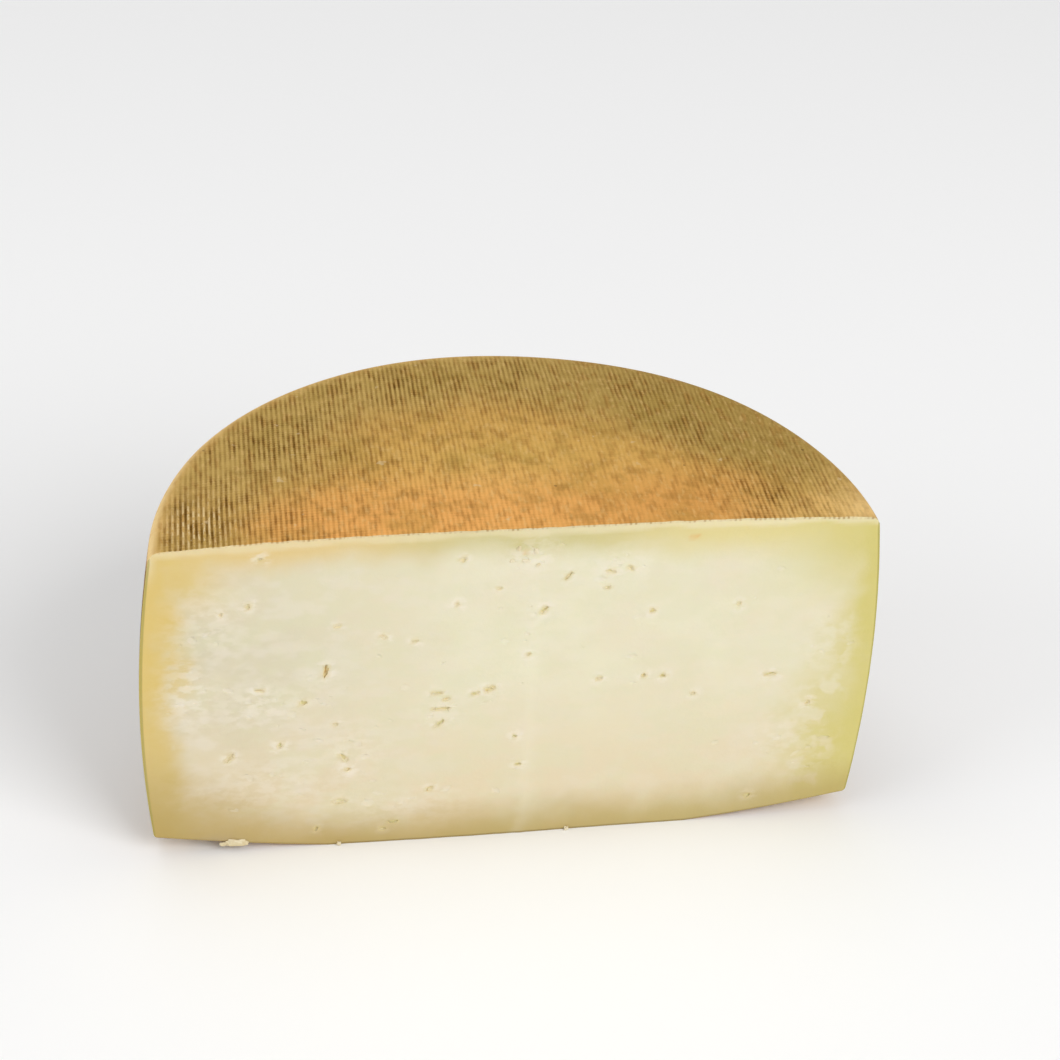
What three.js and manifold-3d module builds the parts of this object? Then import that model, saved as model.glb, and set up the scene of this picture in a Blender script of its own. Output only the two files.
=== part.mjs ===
// Half of an aged sheep's milk cheese wheel, in millimetres, +Z up.
// The wheel was pressed in a mould, so its side bulges, its top is slightly domed, and its underside
// is flat in the middle and lifts towards the rim. A long knife cut it through its axis: the cut face
// looks towards -Y, and carries small eyes and cracks. The half rests on the flat middle of its underside.

import * as THREE from 'three';
import { mergeVertices } from 'three/addons/utils/BufferGeometryUtils.js';
import Module from 'manifold-3d';

// Driving dimensions
const WHEEL_DIAMETER = 260;
const TOP_RIM_DIAMETER = 250;
const BOTTOM_RIM_DIAMETER = 256;
const CROWN_HEIGHT = 135.5;
const TOP_DOME = 3.3;
const TOP_LIP_RADIUS = 4.5;
const BOTTOM_EDGE_RADIUS = 1.8;
const FOOT_DIAMETER = 132;
const RIM_LIFT = 8;

// The cut: two strokes of the knife meet in a low ridge, a little to the right of the middle
const RIDGE_X = 5;
const RIDGE_HEIGHT = 1.2;

// Unevenness of the pressed wheel
const SIDE_WAVE = 0.45;
const TOP_WAVE = 0.4;
const LIFT_WAVE = 0.6;

// Fineness of the surfaces
const SEGMENTS_AROUND = 120;
const DOME_STEPS = 9;
const SIDE_STEPS = 14;
const EDGE_STEPS = 5;
const UNDERSIDE_STEPS = 7;
const EYE_SIDES = 8;
const EYE_RINGS = 5;

const RADIUS = WHEEL_DIAMETER / 2;
const TOP_RADIUS = TOP_RIM_DIAMETER / 2;
const BOTTOM_RADIUS = BOTTOM_RIM_DIAMETER / 2;
const FOOT_RADIUS = FOOT_DIAMETER / 2;
const DOME_POWER = 3;
const LIFT_POWER = 1.25;

// Eyes and cracks of the cut face: place across the face and height above the base,
// length, breadth, depth, and turn of the long way from level in degrees
const EYES = [
  { x: -66.7, z: 79.5, length: 5.6, breadth: 1.6, depth: 1.3, turn: 84 },
  { x: -74.6, z: 66.2, length: 2.8, breadth: 2.0, depth: 0.8, turn: 15 },
  { x: -100.6, z: 43.2, length: 4.6, breadth: 1.6, depth: 0.7, turn: 48 },
  { x: -82.9, z: 47.6, length: 2.4, breadth: 1.8, depth: 0.7, turn: 70 },
  { x: -60.4, z: 40.6, length: 4.2, breadth: 1.8, depth: 0.9, turn: -50 },
  { x: -59, z: 35.2, length: 2.4, breadth: 1.5, depth: 0.7, turn: 25 },
  { x: -61.9, z: 20.5, length: 5.0, breadth: 2.2, depth: 0.7, turn: 4 },
  { x: -70.3, z: 8, length: 2.2, breadth: 1.6, depth: 0.8, turn: 60 },
  { x: -42.3, z: 9.3, length: 3.8, breadth: 1.2, depth: 0.8, turn: 2 },
  { x: -46.2, z: 6.2, length: 2.6, breadth: 1.2, depth: 0.7, turn: 3 },
  { x: -29.3, z: 24, length: 3.0, breadth: 1.8, depth: 0.7, turn: 20 },
  { x: -26.6, z: 53.6, length: 4.4, breadth: 1.5, depth: 0.8, turn: 42 },
  { x: -26.4, z: 60.2, length: 6.6, breadth: 1.3, depth: 0.7, turn: 2 },
  { x: -24.4, z: 64.3, length: 2.8, breadth: 1.7, depth: 0.7, turn: 10 },
  { x: -27.8, z: 67.3, length: 4.6, breadth: 1.0, depth: 0.7, turn: 0 },
  { x: -9.2, z: 67.9, length: 4.2, breadth: 2.4, depth: 0.7, turn: 25 },
  { x: -14.1, z: 66.3, length: 3.2, breadth: 1.6, depth: 0.7, turn: 15 },
  { x: 8.5, z: 101.1, length: 3.6, breadth: 2.0, depth: 0.8, turn: 50 },
  { x: 16.3, z: 114.9, length: 4.4, breadth: 1.2, depth: 0.7, turn: 52 },
  { x: 31.2, z: 115.9, length: 3.6, breadth: 1.4, depth: 0.7, turn: -15 },
  { x: 38.1, z: 116.9, length: 2.8, breadth: 1.6, depth: 0.7, turn: -40 },
  { x: 47.1, z: 98, length: 2.0, breadth: 2.0, depth: 0.7, turn: 0 },
  { x: 46.1, z: 69.7, length: 1.7, breadth: 1.6, depth: 0.7, turn: 0 },
  { x: 53.1, z: 69.2, length: 1.9, breadth: 1.6, depth: 0.7, turn: 0 },
  { x: 29.9, z: 69.7, length: 2.6, breadth: 1.6, depth: 0.7, turn: 10 },
  { x: 92.7, z: 66.8, length: 5.0, breadth: 1.2, depth: 0.7, turn: 4 },
  { x: 108.3, z: 52.4, length: 2.6, breadth: 1.9, depth: 0.7, turn: 60 },
  { x: 90.2, z: 10.1, length: 2.0, breadth: 1.5, depth: 0.7, turn: 30 },
  { x: -92.8, z: 108.6, length: 2.4, breadth: 1.6, depth: 0.7, turn: 80 },
  { x: 2.4, z: 32.9, length: 2.6, breadth: 1.5, depth: 0.8, turn: 5 },
];

const wasm = await Module();
wasm.setup();

// Turns a closed geometry into a solid: only the positions are kept, shared corners become one,
// and the empty triangles that a lathe leaves at its axis are dropped
function solidOf(geometry) {
  geometry.deleteAttribute('normal');
  geometry.deleteAttribute('uv');
  const merged = mergeVertices(geometry);
  const triangles = [];
  const index = merged.index.array;
  for (let i = 0; i < index.length; i += 3) {
    const [a, b, c] = [index[i], index[i + 1], index[i + 2]];
    if (a !== b && b !== c && c !== a) {
      triangles.push(a, b, c);
    }
  }
  return new wasm.Manifold(new wasm.Mesh({
    numProp: 3,
    vertProperties: new Float32Array(merged.attributes.position.array),
    triVerts: new Uint32Array(triangles),
  }));
}

// Height of the top face at a radius
function domeHeight(radius) {
  return CROWN_HEIGHT - TOP_DOME * (radius / TOP_RADIUS) ** DOME_POWER;
}

// Height of the underside at a radius: flat out to the foot, then rising to the rim
function undersideHeight(radius) {
  const reach = BOTTOM_RADIUS - BOTTOM_EDGE_RADIUS - FOOT_RADIUS;
  const way = Math.max(0, radius - FOOT_RADIUS) / reach;
  return RIM_LIFT * way ** LIFT_POWER;
}

// Radius of the side between its lower and its upper edge: a curve through bottom, belly and top
function sideRadius(way) {
  const atBottom = BOTTOM_RADIUS * (1 - way) * (1 - 2 * way);
  const atBelly = RADIUS * 4 * way * (1 - way);
  const atTop = TOP_RADIUS * way * (2 * way - 1);
  return atBottom + atBelly + atTop;
}

// Outline of the wheel from the middle of its underside round the rim to the middle of its top
function wheelProfile() {
  const points = [new THREE.Vector2(0, 0), new THREE.Vector2(FOOT_RADIUS / 2, 0)];
  const bottomEdge = BOTTOM_RADIUS - BOTTOM_EDGE_RADIUS;
  for (let i = 0; i < UNDERSIDE_STEPS; i++) {
    const radius = FOOT_RADIUS + (bottomEdge - FOOT_RADIUS) * (i / UNDERSIDE_STEPS);
    points.push(new THREE.Vector2(radius, undersideHeight(radius)));
  }
  const sideStart = undersideHeight(bottomEdge) + BOTTOM_EDGE_RADIUS;
  for (let i = 0; i < EDGE_STEPS; i++) {
    const angle = (Math.PI / 2) * (i / EDGE_STEPS);
    const radius = bottomEdge + BOTTOM_EDGE_RADIUS * Math.sin(angle);
    points.push(new THREE.Vector2(radius, sideStart - BOTTOM_EDGE_RADIUS * Math.cos(angle)));
  }
  const topEdge = TOP_RADIUS - TOP_LIP_RADIUS;
  const sideEnd = domeHeight(topEdge) - TOP_LIP_RADIUS;
  for (let i = 0; i < SIDE_STEPS; i++) {
    const way = i / SIDE_STEPS;
    points.push(new THREE.Vector2(sideRadius(way), sideStart + (sideEnd - sideStart) * way));
  }
  for (let i = 0; i < EDGE_STEPS; i++) {
    const angle = (Math.PI / 2) * (i / EDGE_STEPS);
    const radius = topEdge + TOP_LIP_RADIUS * Math.cos(angle);
    points.push(new THREE.Vector2(radius, sideEnd + TOP_LIP_RADIUS * Math.sin(angle)));
  }
  for (let i = 0; i < DOME_STEPS; i++) {
    const radius = topEdge * (1 - i / DOME_STEPS);
    points.push(new THREE.Vector2(radius, domeHeight(radius)));
  }
  points.push(new THREE.Vector2(0, CROWN_HEIGHT));
  return points;
}

// Moves each point of the round wheel a little, as pressing in a cloth leaves it uneven.
// The flat foot stays flat, and the axis stays where it is.
function makeUneven(geometry) {
  const position = geometry.attributes.position;
  for (let i = 0; i < position.count; i++) {
    const [x, y, z] = [position.getX(i), position.getY(i), position.getZ(i)];
    const radius = Math.hypot(x, y);
    const angle = Math.atan2(y, x);
    const outward = (radius / RADIUS) ** 4;
    const level = z / CROWN_HEIGHT;
    const side = SIDE_WAVE * outward * (Math.sin(2 * angle + 0.7 + level) + 0.7 * Math.sin(5 * angle - 3 * level));
    const top = TOP_WAVE * outward * level * (Math.sin(3 * angle + 0.4) + Math.sin(7 * angle + 1.9) / 2);
    const beyondFoot = Math.max(0, radius - FOOT_RADIUS) / (RADIUS - FOOT_RADIUS);
    const lift = LIFT_WAVE * beyondFoot * (1 - level) * Math.sin(4 * angle + 1.1);
    const stretch = radius > 0 ? 1 + side / radius : 1;
    position.setXYZ(i, x * stretch, y * stretch, z + top + lift);
  }
}

function makeWheel() {
  const geometry = new THREE.LatheGeometry(wheelProfile(), SEGMENTS_AROUND);
  geometry.rotateX(Math.PI / 2);
  makeUneven(geometry);
  return solidOf(geometry);
}

// The half that the knife takes away: everything in front of the two strokes
function makeKnifeSide() {
  const beyond = RADIUS + 20;
  const strokes = new THREE.Shape();
  strokes.moveTo(-beyond, 0);
  strokes.lineTo(-beyond, -beyond);
  strokes.lineTo(beyond, -beyond);
  strokes.lineTo(beyond, 0);
  strokes.lineTo(RIDGE_X, -RIDGE_HEIGHT);
  strokes.closePath();
  const geometry = new THREE.ExtrudeGeometry(strokes, { depth: CROWN_HEIGHT + 40, bevelEnabled: false });
  geometry.translate(0, 0, -20);
  return solidOf(geometry);
}

// Where the cut face lies at a place across it
function cutFaceY(x) {
  const span = x < RIDGE_X ? RADIUS + 20 + RIDGE_X : RADIUS + 20 - RIDGE_X;
  return -RIDGE_HEIGHT * (1 - Math.abs(x - RIDGE_X) / span);
}

// One eye: a flattened egg sunk into the cut face
function makeEye(eye) {
  const geometry = new THREE.SphereGeometry(1, EYE_SIDES, EYE_RINGS);
  geometry.scale(eye.length / 2, eye.depth, eye.breadth / 2);
  geometry.rotateY(-THREE.MathUtils.degToRad(eye.turn));
  geometry.translate(eye.x, cutFaceY(eye.x), eye.z);
  return solidOf(geometry);
}

function makeHalf() {
  let half = makeWheel().subtract(makeKnifeSide());
  for (const eye of EYES) {
    half = half.subtract(makeEye(eye));
  }
  return half;
}

// Back from the solid to a geometry, with the origin under the middle of its bounding box
function geometryOf(solid) {
  const mesh = solid.getMesh();
  const geometry = new THREE.BufferGeometry();
  geometry.setAttribute('position', new THREE.BufferAttribute(new Float32Array(mesh.vertProperties), 3));
  geometry.setIndex(new THREE.BufferAttribute(new Uint32Array(mesh.triVerts), 1));
  geometry.computeBoundingBox();
  const { min, max } = geometry.boundingBox;
  geometry.translate(-(min.x + max.x) / 2, -(min.y + max.y) / 2, -min.z);
  geometry.computeVertexNormals();
  return geometry;
}

const paste = new THREE.MeshStandardMaterial({ color: 0xe9e2c6, roughness: 0.62, metalness: 0 });

const cheese = new THREE.Mesh(geometryOf(makeHalf()), paste);
cheese.name = 'cheese';

const half = new THREE.Group();
half.name = 'aged_sheep_cheese';
half.add(cheese);

export default half;
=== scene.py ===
from functools import partial
import math
import random

import bpy
from mathutils import Matrix, Vector, noise


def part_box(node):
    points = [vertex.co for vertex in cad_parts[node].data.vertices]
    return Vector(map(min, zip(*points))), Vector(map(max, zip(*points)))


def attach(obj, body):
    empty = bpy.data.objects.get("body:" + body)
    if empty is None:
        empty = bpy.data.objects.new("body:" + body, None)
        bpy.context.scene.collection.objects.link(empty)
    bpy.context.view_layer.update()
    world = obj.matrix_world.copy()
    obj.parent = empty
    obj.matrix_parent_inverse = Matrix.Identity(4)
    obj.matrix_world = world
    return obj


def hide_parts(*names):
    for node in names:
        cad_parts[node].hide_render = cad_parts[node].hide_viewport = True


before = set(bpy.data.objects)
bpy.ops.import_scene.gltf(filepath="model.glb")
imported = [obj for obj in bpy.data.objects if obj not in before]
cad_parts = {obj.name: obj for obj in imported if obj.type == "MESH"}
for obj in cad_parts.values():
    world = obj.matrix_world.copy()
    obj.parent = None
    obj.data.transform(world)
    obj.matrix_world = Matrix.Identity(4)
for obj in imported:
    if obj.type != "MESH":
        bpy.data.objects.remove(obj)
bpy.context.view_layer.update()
node_low, node_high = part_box("cheese")

bl_info = {
    "name": "Aged sheep cheese, half wheel",
    "version": (1, 0, 0),
    "blender": (4, 5, 0),
    "location": "3D View > Sidebar > Cheese",
    "description": "Half of a pressed sheep's milk cheese wheel with a cloth-marked rind and its cut face",
    "category": "Object",
}

MM = 0.001
SENSOR_MM = 36.0
LENGTH = {"subtype": "DISTANCE", "unit": "LENGTH"}
COLOUR = {"subtype": "COLOR", "size": 4, "min": 0, "max": 1}

# Eyes and cracks of the cut face, in millimetres: place across the face, height, length, breadth,
# depth, and turn of the long way from level in degrees
EYES = (
    (-66.7, 79.5, 5.6, 1.6, 1.0, 84),
    (-74.6, 66.2, 2.8, 2.0, 0.8, 15),
    (-100.6, 43.2, 4.0, 1.8, 0.45, 48),
    (-82.9, 47.6, 2.4, 1.8, 0.6, 70),
    (-60.4, 40.6, 4.0, 1.9, 0.75, -50),
    (-59.0, 35.2, 2.4, 1.6, 0.6, 25),
    (-61.9, 20.5, 5.0, 2.2, 0.45, 4),
    (-70.3, 8.0, 2.2, 1.6, 0.8, 60),
    (-42.3, 9.3, 3.8, 1.2, 0.8, 2),
    (-46.2, 6.2, 2.6, 1.2, 0.7, 3),
    (-29.3, 24.0, 3.0, 1.8, 0.5, 20),
    (-26.6, 53.6, 4.2, 1.6, 0.65, 42),
    (-26.4, 60.2, 6.4, 1.2, 0.55, 2),
    (-24.4, 64.3, 2.8, 1.7, 0.6, 10),
    (-27.8, 67.3, 4.6, 1.0, 0.5, 0),
    (-9.2, 67.9, 4.2, 2.4, 0.7, 25),
    (-14.1, 66.3, 3.2, 1.6, 0.6, 15),
    (8.5, 101.1, 3.6, 2.0, 0.65, 50),
    (16.3, 114.9, 4.2, 1.2, 0.5, 52),
    (31.2, 115.9, 3.6, 1.4, 0.5, -15),
    (38.1, 116.9, 2.6, 1.6, 0.5, -40),
    (30.5, 109.2, 2.2, 1.2, 0.5, 0),
    (47.1, 98.0, 2.0, 2.0, 0.6, 0),
    (46.1, 69.7, 1.7, 1.6, 0.7, 0),
    (53.1, 69.2, 1.9, 1.6, 0.6, 0),
    (29.9, 69.7, 2.6, 1.6, 0.5, 10),
    (64.9, 60.2, 1.8, 1.2, 0.4, 0),
    (92.7, 66.8, 4.8, 1.2, 0.55, 4),
    (108.3, 52.4, 2.4, 1.9, 0.6, 60),
    (90.2, 10.1, 2.0, 1.5, 0.7, 30),
    (-92.8, 108.6, 2.4, 1.6, 0.5, 80),
    (-102.0, 105.8, 1.4, 1.2, 0.5, 90),
    (-88.5, 127.8, 1.8, 1.0, 0.5, 5),
    (-62.7, 98.8, 2.4, 1.4, 0.4, 10),
    (-89.5, 72.6, 3.4, 0.9, 0.5, -12),
    (-63.3, 55.9, 1.8, 1.2, 0.4, 0),
    (-20.3, 124.0, 2.6, 2.0, 0.5, 20),
    (-7.4, 111.2, 1.8, 1.2, 0.4, 10),
    (-21.7, 105.4, 1.8, 1.4, 0.4, 60),
    (-46.8, 93.3, 2.6, 1.6, 0.4, -40),
    (-35.9, 90.6, 2.2, 1.0, 0.4, 0),
    (4.0, 82.4, 1.8, 1.2, 0.4, 20),
    (0.7, 46.0, 1.6, 1.3, 0.6, 0),
    (2.4, 32.9, 2.6, 1.5, 0.8, 5),
    (78.1, 98.9, 1.6, 1.6, 0.4, 0),
)

# Orange spots of the cut face, in millimetres: place across the face, height, radius
BLUSHES = ((0.9, 125.6, 1.0), (58.9, 128.3, 1.2), (60.4, 128.5, 1.0))

# Crumbs at the foot of the cut and on it, in millimetres: place across the face, height of the middle,
# length, height, thickness, and turn in degrees
CRUMBS = (
    (-99.2, 4.1, 7.0, 2.8, 1.1, -4),
    (-103.4, 3.7, 3.0, 1.6, 0.8, 6),
    (-62.0, 0.8, 1.6, 1.2, 1.4, 0),
    (22.0, 0.8, 1.8, 1.2, 1.5, 15),
    (-3.6, 122.5, 1.7, 1.0, 0.4, 20),
    (-1.4, 127.4, 1.8, 1.2, 0.4, 70),
    (1.2, 122.2, 2.4, 1.2, 0.4, -15),
    (4.6, 126.4, 1.2, 2.2, 0.4, 10),
    (5.4, 120.4, 1.8, 1.0, 0.3, 35),
)

# Places where the paste crumbled under the knife, in millimetres: middle across the face, height,
# half width, half height, and how many flakes broke out there. The last one is the whole face
CRUMBLED = (
    (-113, 72, 9, 16, 14),
    (-106, 100, 12, 16, 8),
    (-90, 66, 16, 9, 14),
    (-70, 74, 10, 10, 5),
    (-84, 30, 26, 12, 7),
    (-58, 44, 12, 12, 8),
    (-26, 58, 9, 8, 7),
    (-10, 64, 8, 5, 4),
    (-40, 16, 26, 9, 9),
    (4, 124, 9, 7, 14),
    (4, 96, 4, 20, 6),
    (34, 118, 14, 8, 7),
    (100, 38, 14, 12, 6),
    (112, 78, 10, 16, 5),
    (112, 25, 10, 8, 4),
    (0, 70, 110, 55, 26),
)


def linear(colour):
    """An sRGB hex value as linear light"""
    parts = [int(colour[i:i + 2], 16) / 255 for i in (1, 3, 5)]
    return [p / 12.92 if p <= 0.04045 else ((p + 0.055) / 1.055) ** 2.4 for p in parts] + [1.0]


def add_node(tree, kind, inputs=None, take=0, stops=None, **settings):
    """Adds a node, sets its options and sockets, links the sockets that are given an output, turns the ones
    that are given a hex value, and hands on one output of its own"""
    node = tree.nodes.new("ShaderNode" + kind)
    for name, value in settings.items():
        setattr(node, name, value)
    for key, value in (inputs or {}).items():
        if isinstance(value, bpy.types.NodeSocket):
            tree.links.new(value, node.inputs[key])
        else:
            node.inputs[key].default_value = linear(value) if isinstance(value, str) else value
    if stops:
        elements = node.color_ramp.elements
        while len(elements) < len(stops):
            elements.new(0.5)
        for element, (place, colour) in zip(elements, stops):
            element.position = place
            element.color = linear(colour)
    return node.outputs[take]


class WheelShape(bpy.types.PropertyGroup):
    """Form of the pressed wheel that the half was cut from"""

    diameter: bpy.props.FloatProperty(
        name="Diameter", description="Across the bulge of the side",
        default=0.260, **LENGTH)
    top_rim: bpy.props.FloatProperty(
        name="Top rim", description="Diameter at the upper edge of the side",
        default=0.250, **LENGTH)
    bottom_rim: bpy.props.FloatProperty(
        name="Bottom rim", description="Diameter at the lower edge of the side",
        default=0.256, **LENGTH)
    dome: bpy.props.FloatProperty(
        name="Dome", description="How much higher the middle of the top is than its rim",
        default=0.0033, **LENGTH)
    lip: bpy.props.FloatProperty(
        name="Lip", description="Radius of the rounded upper edge",
        default=0.0045, **LENGTH)
    bottom_edge: bpy.props.FloatProperty(
        name="Bottom edge", description="Radius of the rounded lower edge",
        default=0.0018, **LENGTH)
    foot: bpy.props.FloatProperty(
        name="Foot", description="Diameter of the flat middle of the underside",
        default=0.132, **LENGTH)
    rim_lift: bpy.props.FloatProperty(
        name="Rim lift", description="How far the underside rises towards the rim",
        default=0.0080, **LENGTH)


class ClothImprint(bpy.types.PropertyGroup):
    """Marks that the pressing cloth left in the rind"""

    side_pitch: bpy.props.FloatProperty(
        name="Side pitch", description="From rib to rib round the side",
        default=0.00185, **LENGTH)
    top_pitch: bpy.props.FloatProperty(
        name="Top pitch", description="From rib to rib across the top",
        default=0.00175, **LENGTH)
    weft_pitch: bpy.props.FloatProperty(
        name="Weft pitch", description="From thread to thread along a rib",
        default=0.00157, **LENGTH)
    depth: bpy.props.FloatProperty(
        name="Depth", description="Depth of the furrows between the ribs",
        default=0.00040, **LENGTH)


class CutFace(bpy.types.PropertyGroup):
    """The face that the knife left"""

    ridge_place: bpy.props.FloatProperty(
        name="Ridge place", description="How far right of the middle the two strokes of the knife meet",
        default=0.005, **LENGTH)
    ridge_height: bpy.props.FloatProperty(
        name="Ridge height", description="How far the ridge stands out over the ends of the face",
        default=0.0012, **LENGTH)
    cell: bpy.props.FloatProperty(
        name="Cell", description="Size of the cells that carry the marks of the knife",
        default=0.00125, **LENGTH)
    seed: bpy.props.IntProperty(
        name="Seed", description="Seed of the places of the flakes and of the arms of the eyes",
        default=7)


class CheeseColours(bpy.types.PropertyGroup):
    """Main colours of the paste and the rind"""

    heart: bpy.props.FloatVectorProperty(
        name="Heart", description="Ivory of the middle of the cut face",
        default=linear("#e6e0c3"), **COLOUR)
    ochre: bpy.props.FloatVectorProperty(
        name="Ochre", description="Drier, darker paste under the rind",
        default=linear("#dbc074"), **COLOUR)
    # The lip colour is partly the pale smooth rind of the upper edge and partly a painted highlight along its
    # crest
    lip: bpy.props.FloatVectorProperty(
        name="Lip", description="Smooth pale rind of the upper edge",
        default=linear("#f6d698"), **COLOUR)
    mould: bpy.props.FloatVectorProperty(
        name="Mould", description="Olive brown of the darkest bands of the side",
        default=linear("#4f3c1b"), **COLOUR)


class StageLight(bpy.types.PropertyGroup):
    """Floor, light and camera"""

    lens: bpy.props.FloatProperty(
        name="Lens", description="Focal length of the camera", default=78.19, unit="CAMERA")
    eye: bpy.props.FloatVectorProperty(
        name="Eye", description="Place of the camera from the middle of the wheel at the floor",
        default=(-0.1196, -0.6317, 0.5668), subtype="XYZ", unit="LENGTH")
    yaw: bpy.props.FloatProperty(
        name="Yaw", description="Turn of the camera to the right",
        default=math.radians(10.91), subtype="ANGLE", unit="ROTATION")
    pitch: bpy.props.FloatProperty(
        name="Pitch", description="How far the camera looks down",
        default=math.radians(33.93), subtype="ANGLE", unit="ROTATION")
    roll: bpy.props.FloatProperty(
        name="Roll", description="Tilt of the camera round its view",
        default=math.radians(-3.34), subtype="ANGLE", unit="ROTATION")


# Where the wheel's own axis stands in the frame, which settle works out
AXIS = Vector((0.0, 0.0, 0.0))
# Height of the middle of the top
CROWN = node_high.z
# How far pressing moved the side out of round, and the top and the underside out of level
SIDE_WAVE, TOP_WAVE, LIFT_WAVE = 0.45 * MM, 0.4 * MM, 0.6 * MM
# How far the block that shapes the top, and the knife, reach past the wheel
TOP_MARGIN, KNIFE_MARGIN = 6 * MM, 7 * MM


def smooth_step(low, high, value):
    way = min(1.0, max(0.0, (value - low) / (high - low)))
    return way * way * (3 - 2 * way)


def soft_spot(x, y, middle_x, middle_y, reach_x, reach_y):
    """1 in the middle of a spot, and fading to 0 outside it"""
    return math.exp(-((x - middle_x) / reach_x) ** 2 - ((y - middle_y) / reach_y) ** 2)


def select_only(piece):
    bpy.ops.object.select_all(action="DESELECT")
    piece.select_set(True)
    bpy.context.view_layer.objects.active = piece


def new_piece(name, points, edges):
    """An object of plain points and edges, ready to be edited"""
    mesh = bpy.data.meshes.new(name)
    mesh.from_pydata(points, edges, [])
    piece = bpy.data.objects.new(name, mesh)
    bpy.context.collection.objects.link(piece)
    select_only(piece)
    return piece


def new_sheet(columns, rows):
    """A flat sheet of cells, one unit wide and long, ready to be moved into shape"""
    bpy.ops.object.select_all(action="DESELECT")
    bpy.ops.mesh.primitive_grid_add(x_subdivisions=columns, y_subdivisions=rows, size=1)
    return bpy.context.object


def move_points(piece, place_of):
    """Moves every point of a mesh to the place that a function gives for it"""
    for vertex in piece.data.vertices:
        vertex.co = place_of(vertex.co)
    piece.data.update()


def thicken(way, level_back=False):
    """In edit mode, draws the selected faces out into a block, with a level back if asked, and closes it"""
    bpy.ops.mesh.extrude_region_move(TRANSFORM_OT_translate={"value": way})
    if level_back:
        bpy.ops.transform.resize(value=(1, 1, 0))
    bpy.ops.mesh.select_all(action="SELECT")
    bpy.ops.mesh.normals_make_consistent(inside=False)
    bpy.ops.object.mode_set(mode="OBJECT")


# Form of the wheel

def dome_height(radius, wheel):
    return CROWN - wheel.dome * (radius / (wheel.top_rim / 2)) ** 3


def underside_height(radius, wheel):
    foot = wheel.foot / 2
    reach = wheel.bottom_rim / 2 - wheel.bottom_edge - foot
    return wheel.rim_lift * (max(0.0, radius - foot) / reach) ** 1.25


def side_radius(way, wheel):
    at_bottom = wheel.bottom_rim / 2 * (1 - way) * (1 - 2 * way)
    at_belly = wheel.diameter / 2 * 4 * way * (1 - way)
    at_top = wheel.top_rim / 2 * way * (2 * way - 1)
    return at_bottom + at_belly + at_top


def side_ends(wheel):
    """Heights where the straight side starts and ends"""
    low = underside_height(wheel.bottom_rim / 2 - wheel.bottom_edge, wheel) + wheel.bottom_edge
    high = dome_height(wheel.top_rim / 2 - wheel.lip, wheel) - wheel.lip
    return low, high


def wheel_outline(wheel, over_top):
    """Points from the middle of the underside round the rim to the middle of the top"""
    foot, low_edge = wheel.foot / 2, wheel.bottom_rim / 2 - wheel.bottom_edge
    top_edge = wheel.top_rim / 2 - wheel.lip
    low, high = side_ends(wheel)
    points = [(0.0, 0.0), (foot * 0.5, 0.0)]
    underside_steps, edge_steps, side_steps, lip_steps = 4, 4, 28, 5
    for i in range(underside_steps):
        radius = foot + (low_edge - foot) * i / underside_steps
        points.append((radius, underside_height(radius, wheel)))
    for i in range(edge_steps):
        angle = math.pi / 2 * i / edge_steps
        out, down = wheel.bottom_edge * math.sin(angle), wheel.bottom_edge * math.cos(angle)
        points.append((low_edge + out, low - down))
    for i in range(side_steps):
        way = i / side_steps
        points.append((side_radius(way, wheel), low + (high - low) * way))
    for i in range(lip_steps):
        angle = math.pi / 2 * i / lip_steps
        points.append((top_edge + wheel.lip * math.cos(angle), high + wheel.lip * math.sin(angle)))
    inside = top_edge * 0.97
    points.append((top_edge, dome_height(top_edge, wheel)))
    points.append((inside, dome_height(inside, wheel) + over_top))
    points.append((0.0, CROWN + over_top))
    return points


def uneven_shift(point, wheel):
    """How far pressing in a cloth moved a point of the round wheel"""
    radius = math.hypot(point.x, point.y)
    angle = math.atan2(point.y, point.x)
    outward = (radius / (wheel.diameter / 2)) ** 4
    level = point.z / CROWN
    side = SIDE_WAVE * outward * (math.sin(2 * angle + 0.7 + level) + 0.7 * math.sin(5 * angle - 3 * level))
    top = TOP_WAVE * outward * level * (math.sin(3 * angle + 0.4) + math.sin(7 * angle + 1.9) / 2)
    beyond_foot = max(0.0, radius - wheel.foot / 2) / (wheel.diameter / 2 - wheel.foot / 2)
    lift = LIFT_WAVE * beyond_foot * (1 - level) * math.sin(4 * angle + 1.1)
    stretch = side / radius if radius > 0 else 0.0
    return Vector((point.x * stretch, point.y * stretch, top + lift))


# Marks of the cloth

def side_imprint(height, wheel):
    """Strength of the cloth's marks at a height of the side: they fade out towards both edges"""
    low, high = side_ends(wheel)
    begun = smooth_step(low - 2 * MM, low + 14 * MM, height)
    ended = smooth_step(high - 9 * MM, high + 2 * MM, height)
    return 0.5 * begun * (1 - ended)


def deep_print(point):
    """Where the cloth pressed deepest: 1 at the left end of the top, beside the cut, and 0 away from there"""
    return soft_spot(point.x, point.y, -108 * MM, 12 * MM, 14 * MM, 18 * MM)


def worn_corner(point):
    """Where the top is rubbed smooth: 1 at its right end, beside the cut, and 0 away from there"""
    return soft_spot(point.x, point.y, 121 * MM, 4 * MM, 9 * MM, 13 * MM)


def top_imprint(point, wheel):
    """Strength of the cloth's marks on the top: none at the lip, and worn in the middle and on the right"""
    radius = math.hypot(point.x, point.y)
    rim = wheel.top_rim / 2
    from_lip = 1 - smooth_step(rim - 8 * MM, rim - 1.5 * MM, radius)
    outer = smooth_step(55 * MM, 110 * MM, radius)
    to_right = smooth_step(-60 * MM, 60 * MM, point.x)
    worn = 1 - 0.75 * worn_corner(point)
    return from_lip * worn * (0.42 + 0.42 * outer - 0.34 * to_right + 0.55 * deep_print(point))


def patchy(point):
    """Uneven pressure of the cloth, from about 0.5 to 1.2"""
    return 0.9 + 0.5 * noise.noise(point / (28 * MM)) + 0.3 * noise.noise(point / (8 * MM))


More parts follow.
